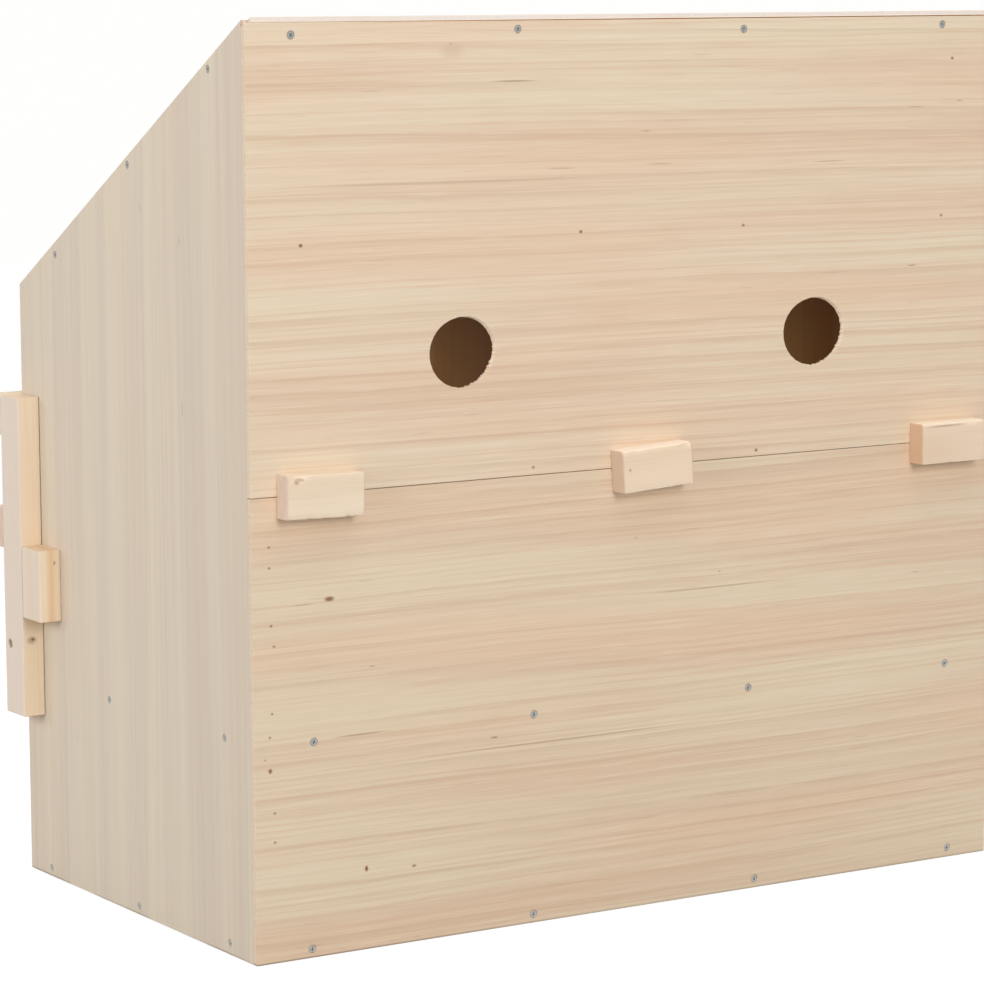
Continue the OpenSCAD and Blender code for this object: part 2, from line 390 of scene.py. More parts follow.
def plywood(name, place, seed, depth=ply, tones=upper_tones, core=core_tones, marks=(), contrast=1.0, banding=1.0,
            lines=1.0, patches=1.0):
    """Veneered sheet in its own frame, with the outer face at w = 0."""
    f = Finish(name)
    u, v, w = f.local(place)
    du = u + seed * 3.7
    drift = f.noise(du * 0.9, v * 3.0) - 0.5
    ripple = f.noise(du * 5.0, v * 11.0 + seed) - 0.5
    vg = v + drift * (8.0 * MM) + ripple * (2.8 * MM)
    bands = f.noise(du * 0.7, vg * 30.0 + seed) - 0.5
    streaks = f.noise(du * 1.8, vg * 170.0, detail=2.0, rough=0.6) - 0.5
    fibres = f.noise(du * 20.0, vg * 900.0)
    wide = growth(f, du * 1.1, vg / wide_gap + f.noise(du * 0.5, vg * 9.0 + seed) * 4.0, 0.45)
    thin = growth(f, du * 1.8, vg / thin_gap + f.noise(du * 0.8, vg * 14.0 + seed) * 5.0, 0.4)
    pores = f.rise(f.noise(du * 26.0, vg * 700.0 + seed), 0.88, 0.94)
    patch = f.noise(du * 2.6, v * 22.0)

    tone = f.rise((bands * (1.5 * banding) + streaks * 0.9) * contrast + 0.5, 0.0, 1.0)
    face = f.tint(tone, *tones)
    patchy, lined = contrast * patches, contrast * lines
    for amount, colour in (
            (f.rise(patch, 0.45, 0.75) * (0.55 * patchy), veneer_tan),
            (f.rise(patch, 0.55, 0.25) * (0.55 * patchy), veneer_cream),
            (wide * (0.31 * lined), growth_line),
            (thin * (0.36 * lined), line_pink),
            (f.rise(fibres, 0.56, 0.9) * (0.28 * lined), pale_fibre),
            (f.rise(fibres, 0.42, 0.1) * (0.16 * lined), growth_line),
            (pores * 0.15, pore_dark)):
        face = f.tint(amount, face, colour)
    if marks:
        face = f.tint(marks_mask(f, u, v + ripple * (2.0 * MM), marks), face, pore_dark)

    into, back_veneer = 0.0 - w, depth - veneer
    inside = f.rise(into, veneer, veneer + layer_blend) * f.rise(into, back_veneer, back_veneer - layer_blend)
    seam = f.rise(abs(abs(into - depth / 2) - (depth / 2 - veneer)), 0.22 * MM, 0.06 * MM)
    ends = f.noise(u * 500.0, v * 500.0, w * 900.0)
    whole = f.tint(inside, face, f.tint(f.rise(ends, 0.3, 0.75), *core))
    whole = f.tint(seam * 0.15, whole, glue)
    # Painted shade: the sheet's inner face is tinted brown, standing in for the dark inside of the box.
    whole = f.tint(f.rise(into, depth - 0.14 * MM, depth - 0.08 * MM), whole, f.tint(tone, *inside_shade_tones))
    # Painted shadow: the lowest 1.6 mm of a sheet darkens in patches, standing in for the contact shadow at the
    # floor.
    height_above = f.node("SeparateXYZ", None, {0: f.node("TexCoord", output="Object")}, 2)
    contact_shadow_mask = f.rise(height_above, 1.6 * MM, 0.4 * MM) * f.rise(patch, 0.15, 0.75)
    whole = f.tint(contact_shadow_mask * 0.7, whole, contact_shadow_tone)

    height = streaks * 0.5 + fibres * 0.5 - wide * 0.3
    bump = f.node("Bump", None, {"Strength": 0.2, "Distance": ply_relief, "Height": height})
    return f.surface(f.node("BsdfPrincipled", None, {
        "Base Color": whole, "Roughness": streaks * 0.2 + 0.6, "Normal": bump, "Specular IOR Level": 0.15}))


print("growth lines about", wide_gap / MM, "and", thin_gap / MM, "mm apart")

# %% [markdown]
# ## Pine
#
# The battens, cleats and perch strips are sawn from solid pine, so their growth rings run right through: long
# lines on the sides and arcs on the ends. Distance from a pith line outside the strip gives both at once. End grain
# drinks in dirt and looks darker and redder, so a thin layer at each end is tinted.

# %% Pine finish
pine_tones, arm_tones = (srgb(238, 220, 196), srgb(228, 203, 173)), (srgb(238, 218, 191), srgb(230, 204, 172))
ring_amber, end_amber, end_grey = srgb(206, 164, 120), srgb(206, 168, 130), srgb(221, 197, 182)
# side_light_grey is painted light: the paler grey of the arms' and stops' side faces under the cool side lamp.
knot_brown, side_light_grey, resin_orange = srgb(120, 78, 46), srgb(226, 210, 197), srgb(220, 168, 104)
ring_gap, pine_relief = 2.6 * MM, 0.2 * MM


def pine(name, place, size, seed, tones=pine_tones, pith=(0.03, -0.05), rings_show=0.5, warmth=0.4, end=end_amber,
         end_tint=0.8, knots=(), painted_light=0.0, pale=side_light_grey, resin=()):
    """Solid pine in its own frame: length, width and thickness along u, v and w."""
    f = Finish(name)
    u, v, w = f.local(place)
    du = u + seed * 2.9
    sway = f.noise(du * 4.0, v * 20.0, w * 20.0) - 0.5
    rough = f.noise(du * 22.0, v * 110.0, w * 110.0) - 0.5
    from_pith = ((v - pith[0]) ** 2 + (w - pith[1]) ** 2) ** 0.5
    late = growth(f, du * 3.0, (from_pith + sway * (5.0 * MM) + rough * (0.6 * MM)) / ring_gap, 0.25)
    fibres = f.noise(du * 20.0, v * 900.0, w * 900.0)
    cloud = f.noise(du * 8.0, v * 45.0, w * 45.0)
    cut = f.rise(abs(u), size[0] / 2 - 1.0 * MM, size[0] / 2 - 0.3 * MM)

    wood = f.tint(f.rise(cloud, 0.3, 0.72) * warmth, *tones)
    wood = f.tint(late * (0.34 * rings_show), wood, ring_amber)
    wood = f.tint(f.rise(fibres, 0.5, 0.85) * 0.1, wood, ring_amber)
    for streak_v, half_v, strength in resin:
        band = f.rise(abs(v + sway * (4.0 * MM) - streak_v * MM), half_v * MM, 0.0)
        wood = f.tint(band * strength, wood, resin_orange)
    # Painted light: the two faces across v are tinted pale. This is a painted highlight on the cleats' tops and a
    # painted cool side light on the side faces of the arms and stops.
    if painted_light:
        wood = f.tint(f.rise(abs(v), size[1] / 2 - 1.2 * MM, size[1] / 2 - 0.4 * MM) * painted_light, wood, pale)
    if knots:
        wood = f.tint(marks_mask(f, u, v + rough * (3.0 * MM), knots), wood, knot_brown)
    saw = f.noise(u * 60.0, v * 420.0, w * 420.0)
    grain = f.tint(late * (0.7 * rings_show) + f.rise(saw, 0.4, 0.8) * 0.2, end, ring_amber)
    wood = f.tint(cut * end_tint, wood, grain)

    height = fibres * 0.6 + late * 0.4 + saw * 0.2
    bump = f.node("Bump", None, {"Strength": 0.3, "Distance": pine_relief, "Height": height})
    return f.surface(f.node("BsdfPrincipled", None, {
        "Base Color": wood, "Roughness": fibres * 0.2 + 0.52, "Normal": bump, "Specular IOR Level": 0.15}))


print("pine rings about", round(ring_gap / MM, 1), "mm apart")

# %% [markdown]
# ## Zinc-plated steel
#
# The small screws and the two pivot screws are bright zinc. Their plating is slightly uneven, which a little
# noise in the roughness and the colour gives.

# %% Zinc finish
zinc_tones = srgb(150, 150, 147), srgb(204, 204, 199)


def zinc(name):
    f = Finish(name)
    u, v, w = f.local(Matrix())
    spots = f.noise(u * 700.0, v * 700.0, w * 700.0, detail=2.0)
    return f.surface(f.node("BsdfPrincipled", None, {
        "Base Color": f.tint(spots, *zinc_tones), "Metallic": 1.0, "Roughness": spots * 0.25 + 0.35}))


zinc_bright = zinc("zinc_bright")
print("zinc ready")

# %% [markdown]
# ## From bmesh to piece
#
# Each piece ends the same way: its bmesh becomes an object at the origin, gets its finish, rides on a CAD body and
# hides the CAD node that it stands for. Its sharp edges are eased before that, because no real edge is quite sharp
# and a narrow bevel is what catches the light.

# %% Finishing a piece


def make_piece(name, bm, finish, body="box", nodes=(), smooth=0.0):
    bmesh.ops.recalc_face_normals(bm, faces=bm.faces[:])
    open_edges = sum(not e.is_manifold for e in bm.edges)
    mesh = bpy.data.meshes.new(name)
    bm.to_mesh(mesh)
    bm.free()
    if smooth:
        mesh.shade_smooth()
        mesh.set_sharp_from_angle(angle=math.radians(smooth))
    mesh.materials.append(finish)
    piece = bpy.data.objects.new(name, mesh)
    bpy.context.scene.collection.objects.link(piece)
    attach(piece, body)
    if nodes:
        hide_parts(*nodes)
    print(name, len(mesh.polygons), "faces", f"{open_edges} open edges" if open_edges else "closed")


def ease(bm, width, segments=2, sharpest=30):
    """Rounds the sharp edges a little, as sandpaper does."""
    edges = [e for e in bm.edges if len(e.link_faces) == 2 and e.calc_face_angle() > math.radians(sharpest)]
    bmesh.ops.bevel(bm, geom=edges, offset=width, offset_type="OFFSET", affect="EDGES", segments=segments,
                    profile=0.5, material=-1, clamp_overlap=False)


print("helpers ready")

# %% [markdown]
# ## Holes
#
# The screw holes are real holes: a screw head that sits a hair below the face then gets the dark ring that the
# photograph shows round each one. The vents were cut by hand with a hole saw, so they are not quite round, ragged
# on the side where the saw tore the veneer, worn to a pale bevel beside it, and a little wider at the back of the
# sheet. A vent starts as a circle whose vertices are pushed in by noise, and its rims are pushed out again once
# the sheet has its thickness.

# %% Vents cut by a hole saw
vent_steps = 300
torn_side, worn_side = Vector((0.74, -0.67, 0)), Vector((0.97, 0.24, 0))
tear, raggedness, back_flare, worn_wide = 1.4, 1.5, 2.2, 2.0
worn_deep = 1.6 * MM


def saw_vent(bm, vent):
    """The outline of a vent, torn and ragged on one side. Fray is the length of one unit of damage."""
    u, v, half_u, half_v, fray = vent
    centre = Vector((u, v, 0))
    rim = bmesh.ops.create_circle(bm, segments=vent_steps, radius=1.0,
                                  matrix=Matrix.Translation(centre) @ Matrix.Diagonal((half_u, half_v, 1, 1)))
    for vert in rim["verts"]:
        arm = vert.co - centre
        out = arm.normalized()
        towards = out.dot(torn_side)
        torn = max(0.0, (towards - 0.6) / 0.4)
        rough = 0.15 + 0.7 * max(0.0, towards + 0.1)
        ragged = noise.noise(arm * 800 + u * Z) + noise.noise(arm * 300 + u * Z)
        vert.co -= out * (torn * tear + rough * raggedness * abs(ragged)) * fray


def wear_vent(bm, vent, thickness):
    """Opens a vent's back rim all round, and its front rim on the worn side."""
    u, v, half_u, _, fray = vent
    for vert in bm.verts:
        arm = Vector((vert.co.x - u, vert.co.y - v, 0))
        if arm.length < 1.2 * half_u:
            out = arm.normalized()
            if vert.co.z < -thickness / 2:
                vert.co += out * back_flare * fray
            elif vert.co.z > -worn_deep / 2:
                vert.co += out * worn_wide * fray * max(0.0, out.dot(worn_side))


print("vents in", vent_steps, "steps")

# %% [markdown]
# ## Drilled sheets
#
# A sheet is an outline with holes in it, filled and then given its thickness. Filling leaves the holes open, so
# nothing has to be cut out of a finished sheet, and solidify closes every hole with a wall of its own.

# %% A sheet with holes
screw_hole, round_steps = 2.9 * MM, 20
sheet_ease = 0.2 * MM


def drilled_sheet(place, outline, thickness, screws=(), vents=(), hole=screw_hole):
    """A flat sheet in its own frame, outer face at w = 0, then set in place."""
    bm = bmesh.new()
    corners = [bm.verts.new((u, v, 0)) for u, v in outline]
    for pair in zip(corners, corners[1:] + corners[:1]):
        bm.edges.new(pair)
    for u, v in screws:
        bmesh.ops.create_circle(bm, segments=round_steps, radius=hole, matrix=Matrix.Translation((u, v, 0)))
    for vent in vents:
        saw_vent(bm, vent)
    bmesh.ops.triangle_fill(bm, use_beauty=True, use_dissolve=False, edges=bm.edges[:], normal=Z)
    bmesh.ops.recalc_face_normals(bm, faces=bm.faces[:])
    if sum(face.normal.z * face.calc_area() for face in bm.faces) < 0:
        bmesh.ops.reverse_faces(bm, faces=bm.faces[:])
    bmesh.ops.solidify(bm, geom=bm.faces[:], thickness=thickness)
    top = max(vert.co.z for vert in bm.verts)
    bmesh.ops.translate(bm, verts=bm.verts[:], vec=(0, 0, -top))
    if vents:
        everything = bm.verts[:] + bm.edges[:] + bm.faces[:]
        bmesh.ops.bisect_plane(bm, geom=everything, plane_co=(0, 0, -worn_deep), plane_no=Z)
    for vent in vents:
        wear_vent(bm, vent, thickness)
    bmesh.ops.transform(bm, matrix=place, verts=bm.verts[:])
    return bm


def sheet_piece(name, node, bm, finish):
    """Eases a sheet's edges and makes it the piece that stands for a node."""
    ease(bm, sheet_ease)
    make_piece(name, bm, finish, nodes=[node])


def rectangle(low_u, low_v, high_u, high_v):
    return [(low_u, low_v), (high_u, low_v), (high_u, high_v), (low_u, high_v)]


def in_metres(places):
    return [(u * MM, v * MM) for u, v in places]


print("screw holes", round(2 * screw_hole / MM, 1), "mm")

# %% [markdown]
# ## Rear wall
#
# Two sheets meet at half height. The upper one has a vent hole into each nest and a top edge that is bevelled
# under the roof. The screws sit where the photograph shows them, in three rows: into the batten under the roof,
# the floor's batten and the batten on the ground. Pin knots and dark lines are listed with their places, and the
# lower sheet has a column of small pins along its right-hand edge.

# %% Screws, vents and marks of the rear wall, in mm
top_row = [(-280.5, 623.6), (-103, 625.6), (87, 623.8), (266.5, 625.3)]
floor_row = [(-269, 149), (-92, 149), (93, 149), (275, 149)]
foot_row = [(-272, 6), (-93, 6), (99, 6.5), (279, 7)]
vents = [(-149.5, 406.5, 26.0, 24.4), (149.7, 405.4, 26.7, 24.5)]
vent_fray = 1.0

upper_knots = [(-275, 484.5, 1.9, 1.6, 0.9), (-52, 486, 1.9, 1.6, 0.8), (87, 485, 1.7, 1.4, 0.7),
               (267, 486, 1.7, 1.4, 0.7), (276, 600, 1.8, 1.4, 0.8), (-92, 324, 1.6, 1.4, 0.7),
               (99, 323, 1.8, 1.6, 0.8), (-157, 616, 1.4, 1.1, 0.3), (-156, 611, 12, 6, 0.12)]
upper_lines = [(-106, 590, 22, 0.8, 0.5), (-165, 523.3, 148, 1.3, 0.22), (-68, 530, 15, 0.6, 0.3),
               (243, 565, 10, 0.6, 0.3), (283, 569, 4, 0.7, 0.35), (3, 554, 5, 0.6, 0.35),
               (15, 531, 15, 0.6, 0.3), (163, 528, 18, 0.6, 0.35), (240, 450, 5, 0.7, 0.5)]
lower_knots = [(-256, 246, 4.8, 2.2, 0.85), (-229, 57, 1.7, 2.6, 0.95), (-191, 54, 2.4, 1.3, 0.7),
               (67, 237, 1.5, 1, 0.35), (-6, 267, 2, 0.8, 0.3)]
lower_lines = [(-277, 244, 9.5, 0.6, 0.3), (-125, 136, 4, 0.9, 0.55), (-63, 128.5, 136, 0.9, 0.4),
               (-232, 150.5, 26, 0.9, 0.45), (65, 226, 73, 0.8, 0.32), (-223, 196.5, 3, 0.7, 0.35),
               (246, 221, 5, 0.6, 0.3)]
small_pins = [(-302, 285), (-302, 271), (-299, 218), (-301, 172), (-303, 156), (-300, 104), (-300, 84)]
edge_pins = [(u, v, 1.4, 1.2, 0.65) for u, v in small_pins]
edge_pins += [(-301, 232, 1.5, 1.3, 0.7), (-307, 141, 1.2, 1.0, 0.4), (-303, 133, 2.0, 2.2, 0.85)]
foot_shade = (0, 10, 420, 150, 0.05)
print(len(top_row + floor_row + foot_row), "screws,", len(vents), "vents,", len(edge_pins), "pins at the edge")

# %% [markdown]
# The upper sheet touches the roof at its right-hand end, so its top edge rises by half a millimetre there and the
# dark line between them fades out. The edge's inner side is then lowered to the roof's slope.

# %% Rear sheets
rear_place = frame_of(Vector((0, rear_y, 0)), -X, Z)
upper_low, upper_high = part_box("rear_upper_panel")
end_rise = 0.5 * MM
outline = [(-side_x, upper_low.z), (side_x, upper_low.z), (side_x, upper_high.z), (0, upper_high.z),
           (-side_x, upper_high.z + end_rise)]
bm = drilled_sheet(rear_place, outline, ply, in_metres(top_row),
                   [tuple(a * MM for a in (*vent, vent_fray)) for vent in vents])
for vert in bm.verts:
    if vert.co.z > upper_high.z - 0.1 * MM and vert.co.y < rear_y - ply / 2:
        vert.co.z += roof_under(rear_in_y) - roof_under(rear_y)
sheet_piece("rear_upper_sheet", "rear_upper_panel", bm, plywood(
    "ply_rear_upper", rear_place, 1.0, marks=upper_knots + upper_lines, contrast=0.88, banding=0.6))

bm = drilled_sheet(rear_place, rectangle(-side_x, 0, side_x, rear_high.z), ply, in_metres(floor_row + foot_row))
sheet_piece("rear_lower_sheet", "rear_lower_panel", bm, plywood(
    "ply_rear_lower", rear_place, 2.0, tones=lower_tones, contrast=0.9, banding=0.4,
    marks=lower_knots + lower_lines + edge_pins + [foot_shade]))

# %% [markdown]
# ## Side walls
#
# One sheet each, with the grain upright and a sloping top. The left wall is the right one's mirror image, so the
# same list of screws and marks serves both.

# %% Side walls
wall_screws = [(601, 52.2), (533, 173.2), (464, 291.2), (149, 216.2), (150, 42.2), (6, 317.2), (6, 174.2),
               (8, 38.2)]
wall_screw_scale = 0.95
wall_marks = [(504, 155, 5, 0.6, 0.4), (484, 97, 5, 0.6, 0.4), (370, 96, 8, 0.6, 0.4), (113, 270, 5, 0.6, 0.2),
              (631, 3, 4, 3, 0.45)]
wall_corners = [(0, front_y), (0, rear_in_y), (roof_top(rear_in_y), rear_in_y), (roof_top(front_y), front_y)]


def wall_place(sign):
    """A side wall's own frame: up it, and forward from the rear face."""
    return frame_of(Vector((sign * side_x, rear_y, 0)), Z, -sign * Y)


def wall_spots(sign):
    return in_metres([(z, sign * forward) for z, forward in wall_screws])


for side, sign in hands:
    place = wall_place(sign)
    bm = drilled_sheet(place, [(z, sign * (rear_y - y)) for z, y in wall_corners], ply, wall_spots(sign),
                       hole=wall_screw_scale * screw_hole)
    marks = [(z, sign * forward, *rest) for z, forward, *rest in wall_marks]
    sheet_piece(side + "_wall_sheet", side + "_wall", bm, plywood(
        "ply_" + side, place, 3.0 + sign, tones=side_tones, marks=marks, banding=0.8, lines=0.3, patches=0.2))

# %% [markdown]
# ## Roof
#
# The roof lies between the side walls, square-edged, and shows at the rear as a thin pale strip. Its frame leans
# with the slope, so the sheet can be drawn flat like the others and its grain runs across the box.

# %% Roof
roof_place = frame_of(Vector((0, front_y, roof_top(front_y))), X, up_slope)
roof_long = (rear_y - roof_thick * math.sin(slope) - front_y) / math.cos(slope)
edge_in = batten / 2
roof_screws = [(x * MM, v) for x in (-270, -90, 90, 270) for v in (edge_in, roof_long - edge_in - ply)]
bm = drilled_sheet(roof_place, rectangle(-inner_x, 0, inner_x, roof_long), roof_thick, roof_screws)
sheet_piece("roof_sheet", "roof_panel", bm, plywood(
    "ply_roof", roof_place, 6.0, depth=roof_thick, tones=roof_tones, core=roof_core, contrast=0.8, patches=0.4))

# %% [markdown]
# ## Nest floor, front sheet and divider
#
# These sheets show only from the front, from below and through the vent holes. The divider parts the two nests and
# is notched round the batten under the roof's rear edge. It is brown on both sides, as the other sheets are inside:
# a painted shade that stands in for the dark inside of the nests.

# %% Nest floor and front sheet
floor_low, floor_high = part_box("nest_floor")
floor_place = frame_of(Vector((0, 0, floor_high.z)), X, Y)
bm = drilled_sheet(floor_place, rectangle(floor_low.x, floor_low.y, floor_high.x, floor_high.y), ply)
sheet_piece("nest_floor_sheet", "nest_floor", bm, plywood("ply_floor", floor_place, 7.0))

panel_low, panel_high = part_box("front_lower_panel")
panel_place = frame_of(Vector((0, panel_low.y, 0)), X, Z)
panel_screws = in_metres([(x, 7) for x in (-275, -95, 95, 275)])
bm = drilled_sheet(panel_place, rectangle(panel_low.x, 0, panel_high.x, panel_high.z), ply, panel_screws)
sheet_piece("front_lower_sheet", "front_lower_panel", bm, plywood(
    "ply_front", panel_place, 8.0, contrast=0.9, banding=0.6))

# %% Divider between the nests
div_low, div_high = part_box("centre_divider")
rear_top_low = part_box("rear_top_batten")[0]
div_place = frame_of(Vector((div_high.x, 0, 0)), Z, -Y)
div_corners = [(div_low.y, div_low.z), (rear_in_y, div_low.z), (rear_in_y, rear_top_low.z),
               (rear_top_low.y, rear_top_low.z), (rear_top_low.y, roof_under(rear_top_low.y)),
               (div_low.y, roof_under(div_low.y))]
bm = drilled_sheet(div_place, [(z, -y) for y, z in div_corners], ply)
# The divider's brown on both faces is painted shade for the inside of the nests.
sheet_piece("divider_sheet", "centre_divider", bm, plywood(
    "ply_divider", div_place, 9.0, tones=inside_shade_tones, contrast=0.25))

# %% [markdown]
# ## Battens
#
# The battens are plain square strips. Those under the roof's front and rear edges are planed to its slope, and
# the two along its sides run down the slope. A strip starts as its end profile, is drawn out along its length and
# gets eased edges.

# %% Strips and blocks
strip_ease = 0.9 * MM


def strip_from_profile(profile, start_x, end_x):
    """An end profile in the YZ plane, drawn out along X."""
    bm = bmesh.new()
    face = bm.faces.new([bm.verts.new((start_x, y, z)) for y, z in profile])
    drawn = bmesh.ops.extrude_face_region(bm, geom=[face], use_keep_orig=True)
    bmesh.ops.translate(bm, vec=((end_x - start_x), 0, 0),
                        verts=[g for g in drawn["geom"] if isinstance(g, bmesh.types.BMVert)])
    bmesh.ops.recalc_face_normals(bm, faces=bm.faces[:])
    return bm


def block(low, high):
    """A square-edged block between two corners."""
    bm = bmesh.new()
    bmesh.ops.create_cube(bm, size=1.0, matrix=Matrix.LocRotScale((low + high) / 2, None, high - low))
    return bm


def strip_piece(node, bm, finish):
    """Eases a batten's edges and makes it the piece that stands for its node."""
    ease(bm, strip_ease)
    make_piece(node + "_strip", bm, finish, nodes=[node])


print("battens eased by", round(strip_ease / MM, 1), "mm")

# %% Battens under the roof
for number, name in enumerate(["front_top_batten", "rear_top_batten"]):
    low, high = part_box(name)
    bm = strip_from_profile([(low.y, low.z), (high.y, low.z), (high.y, roof_under(high.y)),
                             (low.y, roof_under(low.y))], low.x, high.x)
    place = frame_of((low + high) / 2, X, Y)
    strip_piece(name, bm, pine("pine_" + name, place, high - low, 20 + number))

drop = batten / math.cos(slope)
for number, name in enumerate(["right_roof_batten", "left_roof_batten"]):
    low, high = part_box(name)
    bm = strip_from_profile([(low.y, roof_under(low.y) - drop), (high.y, roof_under(high.y) - drop),
                             (high.y, roof_under(high.y)), (low.y, roof_under(low.y))], low.x, high.x)
    place = frame_of((low + high) / 2, up_slope, X)
    strip_piece(name, bm, pine("pine_" + name, place, (roof_long, batten, batten), 24 + number, end_tint=0.0))

# %% Square battens round the floor and the foot
square_battens = [side + "_" + ring + "_batten" for ring in ("floor", "bottom")
                  for side in ("front", "rear", "right", "left")]
for number, name in enumerate(square_battens):
    low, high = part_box(name)
    size = high - low
    along, across = (X, Y) if size.x > size.y else (Y, X)
    place = frame_of((low + high) / 2, along, across)
    strip_piece(name, block(low, high), pine("pine_" + name, place, (max(size), batten, batten), 30 + number))

# %% [markdown]
# ## Lip board
#
# The lip board closes the lower part of both entries and keeps the straw in the nests. It is one sawn board, so the
# square-edged block is all that it needs.

# %% Lip board


def sides(low, high, axes):
    """A box's sizes in the order of the named axes."""
    return tuple(getattr(high, axis) - getattr(low, axis) for axis in axes)


low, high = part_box("front_lip_board")
bm = block(low, high)
ease(bm, strip_ease)
place = frame_of((low + high) / 2, X, Z)
make_piece("lip_board", bm, pine("pine_lip", place, sides(low, high, "xzy"), 40),
           nodes=["front_lip_board"])

# %% [markdown]
# ## Cleats and stops
#
# The three cleats lie across the joint of the rear wall, and the stop blocks hold the perch. All are short pieces
# sawn off a strip: their long front edges are worn unevenly, and two of the cleats have lost a corner. A bevel alone
# looks machined, so the block is cut into small cells and noise then takes some wood off along those edges.

# %% Sawn blocks
arris, wear_reach = 0.6 * MM, 3.0 * MM


def sawn_block(size, cell, worn, seed, chip=None):
    """A block about the origin: eased, worn at the front's upper and lower edge, and chipped at the upper one.

    The chip is its place along the block, its half length, its reach over the edge and its depth.
    """
    bm = bmesh.new()
    bmesh.ops.create_cube(bm, size=1.0, matrix=Matrix.Diagonal((*size, 1)))
    for axis in range(3):
        rows = [e for e in bm.edges if abs((e.verts[0].co - e.verts[1].co).normalized()[axis]) > 0.99]
        bmesh.ops.subdivide_edges(bm, edges=rows, cuts=max(round(size[axis] / cell) - 1, 1), use_grid_fill=True)
    ease(bm, arris, segments=3)
    for vert in bm.verts:
        u, v, w = vert.co
        edge = max(0.0, 1 - (size[1] / 2 - abs(v) + abs(w - size[2] / 2)) / wear_reach)
        ragged = noise.noise(Vector((u * 140, v * 60, seed))) + noise.noise(Vector((u * 500, v * 100, seed)))
        loss = edge * (worn[0] if v > 0 else worn[1]) * (0.6 + 0.8 * ragged)
        if chip:
            chip_u, chip_half, chip_reach, chip_deep = chip
            near = Vector(((u - chip_u) / chip_half, (v - size[1] / 2) / chip_reach, (w - size[2] / 2) / chip_reach))
            loss += max(0.0, 1 - near.length) * chip_deep * (1 + 0.5 * noise.noise(vert.co * 900))
        vert.co -= Vector((0, math.copysign(0.7, v), 0.7)) * max(loss, 0.0)
    return bm


print("sawn blocks worn over", round(wear_reach / MM, 1), "mm")

# %% Cleats: turn in degrees, wear, chip and look of each
cleat_cell = 1.6 * MM
cleat_shapes = {
    "right": (-1.0, (0.6 * MM, 1.0 * MM), (-22 * MM, 9 * MM, 5 * MM, 2.6 * MM)),
    "centre": (3.5, (1.3 * MM, 0.4 * MM), (27 * MM, 7 * MM, 4 * MM, 1.8 * MM)),
    "left": (0.0, (1.8 * MM, 0.4 * MM), None),
}
# The centre and left cleats get a painted highlight: their tops are tinted pale, as the overhead light would make
# them.
cleat_looks = {
    "right": dict(warmth=0.25, end=end_grey, pith=(0.004, -0.06), rings_show=0.35,
                  knots=[(-22.8, 11.0, 2.6, 1.9, 0.5), (-19.8, 12.3, 4.2, 0.9, 0.45)]),
    "centre": dict(warmth=0.75, tones=(srgb(237, 216, 190), srgb(231, 207, 178)), end=srgb(214, 187, 166),
                   pith=(0.05, -0.02), rings_show=0.05, knots=[(-24, 1, 1.2, 1.6, 0.5)],
                   painted_light=0.8, pale=srgb(252, 236, 219)),
    "left": dict(warmth=0.8, tones=(srgb(235, 213, 189), srgb(228, 203, 176)), end=srgb(216, 178, 144),
                 pith=(-0.01, -0.05), rings_show=0.1, knots=[(-8, 12.9, 22, 1.0, 0.45)],
                 painted_light=0.8, pale=srgb(250, 236, 214)),
}
cleat_size = sides(*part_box("rear_cleat_left"), "xzy")
for number, (side, (turn, worn, chip)) in enumerate(cleat_shapes.items()):
    low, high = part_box("rear_cleat_" + side)
    turned = Matrix.Rotation(math.radians(turn), 4, "Y")
    place = Matrix.Translation((low + high) / 2) @ turned @ frame_of(Vector(), -X, Z)
    bm = sawn_block(cleat_size, cleat_cell, worn, number, chip)
    bmesh.ops.transform(bm, matrix=place, verts=bm.verts[:])
    finish = pine("pine_cleat_" + side, place, cleat_size, 50 + number, **cleat_looks[side])
    make_piece("cleat_" + side, bm, finish, nodes=["rear_cleat_" + side], smooth=50)

# %% Perch stops
stop_cell, stop_worn = 2.0 * MM, (0.5 * MM, 0.3 * MM)
# The stops' side faces are tinted a paler grey, painted light from the cool lamp at the side.
stop_look = dict(tones=arm_tones, pith=(0.002, 0.05), rings_show=0.8, warmth=0.7, end_tint=0.25, painted_light=0.5,
                 resin=[(-1.5, 5.0, 0.45)], knots=[(17, -3, 2.0, 1.2, 0.6)])
for number, (side, _) in enumerate(hands):
    low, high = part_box(side + "_perch_stop")
    size = sides(low, high, "zxy")
    place = frame_of((low + high) / 2, Z, X)
    bm = sawn_block(size, stop_cell, stop_worn, 5.0 + number)
    bmesh.ops.transform(bm, matrix=place, verts=bm.verts[:])
    finish = pine("pine_stop_" + side, place, size, 60 + number, **stop_look)
    make_piece(side + "_stop_block", bm, finish, nodes=[side + "_perch_stop"], smooth=50)

# %% [markdown]
# ## Perch
#
# Two arms and two rails make the folding perch. Each arm is drilled for its pivot screw, so it starts as a drilled
# outline like a sheet does, only thicker. The rails are plain blocks. All four ride on the perch's own body, so
# they move together with it.

# %% Arms
arm_low, arm_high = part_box("right_perch_arm")
arm_size, arm_middle = sides(arm_low, arm_high, "zxy"), (arm_low + arm_high) / 2
arm_thick, arm_ease = arm_size[1], 0.7 * MM
screw_low, screw_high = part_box("right_pivot_screw")
pivot_y, pivot_z = (screw_low.y + screw_high.y) / 2, (screw_low.z + screw_high.z) / 2
pivot_hole, pivot_fray = 3.4 * MM, 0.1 * MM
